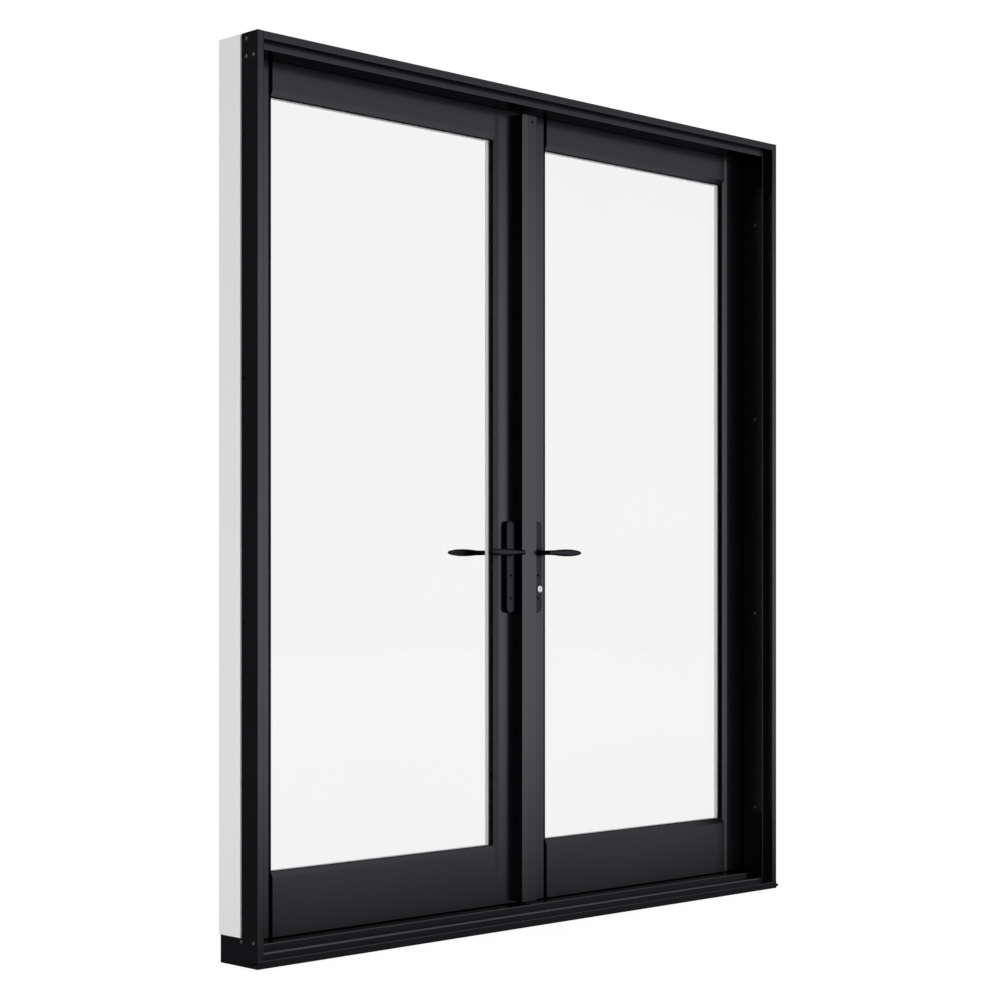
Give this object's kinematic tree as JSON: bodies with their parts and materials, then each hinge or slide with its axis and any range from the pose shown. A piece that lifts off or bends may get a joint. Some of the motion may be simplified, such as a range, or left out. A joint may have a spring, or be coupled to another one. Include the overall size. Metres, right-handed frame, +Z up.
{
  "type": "double hinged patio door",
  "caption": "Inward-opening double patio door in its frame: black fiberglass outside, white liner inside, glazed panels, astragal, lever handles and sill.",
  "frame": {"origin": "centre of the sill underside: middle of the width, mid depth of the frame", "axes": "+X to the right seen from outside, +Y from outside to the room, +Z up"},
  "size_m": [1.847, 0.2, 2.083],
  "materials": {
    "black_frame": "satin, faint grain",
    "threshold_black": "satin",
    "white_liner": "satin",
    "black_rubber": "matt",
    "panel_fiberglass": "satin outside, white inside",
    "white_bead": "satin",
    "clear_glass": "clear",
    "spacer": "dull",
    "astragal_black": "satin",
    "black_handle": "satin",
    "steel": "brushed",
    "hinge_black": "satin",
    "silver": "satin"
  },
  "bodies": {
    "frame": {"jamb_left": "black_frame", "jamb_right": "black_frame", "head": "black_frame", "sill": "black_frame", "threshold": "threshold_black", "jamb_feet": "black_frame", "liner_left": "white_liner", "liner_right": "white_liner", "liner_head": "white_liner", "frame_weatherstrip": "black_rubber", "frame_hinge_leaves": "hinge_black", "head_keeper": "steel", "sill_keeper": "steel"},
    "active_panel": {"active_hinge_stile": "panel_fiberglass", "active_meeting_stile": "panel_fiberglass", "active_top_rail": "panel_fiberglass", "active_bottom_rail": "panel_fiberglass", "active_outer_pane": "clear_glass", "active_inner_pane": "clear_glass", "active_glass_spacer": "spacer", "active_glazing_gasket": "black_rubber", "active_glazing_beads": "white_bead", "active_sweep": "black_rubber", "active_hinge_leaves": "hinge_black", "active_outside_plate": "black_handle", "active_inside_plate": "black_handle", "active_lock": "steel", "key_cylinder": "silver"},
    "passive_panel": {"passive_hinge_stile": "panel_fiberglass", "passive_meeting_stile": "panel_fiberglass", "passive_top_rail": "panel_fiberglass", "passive_bottom_rail": "panel_fiberglass", "passive_outer_pane": "clear_glass", "passive_inner_pane": "clear_glass", "passive_glass_spacer": "spacer", "passive_glazing_gasket": "black_rubber", "passive_glazing_beads": "white_bead", "passive_sweep": "black_rubber", "passive_hinge_leaves": "hinge_black", "passive_outside_plate": "black_handle", "passive_inside_plate": "black_handle", "passive_lock": "steel", "astragal": "astragal_black", "astragal_seal": "black_rubber"},
    "active_handle": {"active_outside_lever": "black_handle", "active_inside_lever": "black_handle", "active_spindle": "steel"},
    "passive_handle": {"passive_outside_lever": "black_handle", "passive_inside_lever": "black_handle", "passive_spindle": "steel"},
    "tongues": {"lock_tongues": "steel"},
    "upper_bolt": {"passive_upper_bolt": "steel"},
    "lower_bolt": {"passive_lower_bolt": "steel"},
    "cylinder_turn": {"key_plug": "silver", "thumb_turn": "black_handle"}
  },
  "joints": [
    {"name": "active_hinge", "type": "hinge", "parent": "frame", "child": "active_panel", "pos_m": [0.891, 0.0785, 1.0415], "axis": [0, 0, -1], "range_deg": [0, 105]},
    {"name": "passive_hinge", "type": "hinge", "parent": "frame", "child": "passive_panel", "pos_m": [-0.891, 0.0785, 1.0415], "axis": [0, 0, 1], "range_deg": [0, 90]},
    {"name": "active_lever_turn", "type": "hinge", "parent": "active_panel", "child": "active_handle", "pos_m": [0.049, 0.04475, 0.9325], "axis": [0, -1, 0], "range_deg": [-40, 45], "stiffness_Nm_per_rad": 8},
    {"name": "passive_lever_turn", "type": "hinge", "parent": "passive_panel", "child": "passive_handle", "pos_m": [-0.049, 0.04475, 0.9325], "axis": [0, 1, 0], "range_deg": [-40, 45], "stiffness_Nm_per_rad": 8},
    {"name": "tongue_slide", "type": "slide", "parent": "active_panel", "child": "tongues", "axis": [-1, 0, 0], "range_m": [-0.01425, 0.016]},
    {"name": "upper_bolt_slide", "type": "slide", "parent": "passive_panel", "child": "upper_bolt", "axis": [0, 0, 1], "range_m": [-0.0107, 0.012]},
    {"name": "lower_bolt_slide", "type": "slide", "parent": "passive_panel", "child": "lower_bolt", "axis": [0, 0, -1], "range_m": [-0.0107, 0.012]},
    {"name": "cylinder_turn", "type": "hinge", "parent": "active_panel", "child": "cylinder_turn", "pos_m": [0.049, 0.04475, 0.84], "axis": [0, -1, 0], "range_deg": [0, 90]}
  ],
  "couplings": [
    {"joint": "passive_hinge", "follows": "active_hinge", "ratio": 0.85},
    {"joint": "tongue_slide", "follows": "active_lever_turn", "m_per_rad": 0.02037},
    {"joint": "upper_bolt_slide", "follows": "passive_lever_turn", "m_per_rad": 0.01527},
    {"joint": "lower_bolt_slide", "follows": "passive_lever_turn", "m_per_rad": 0.01527}
  ]
}
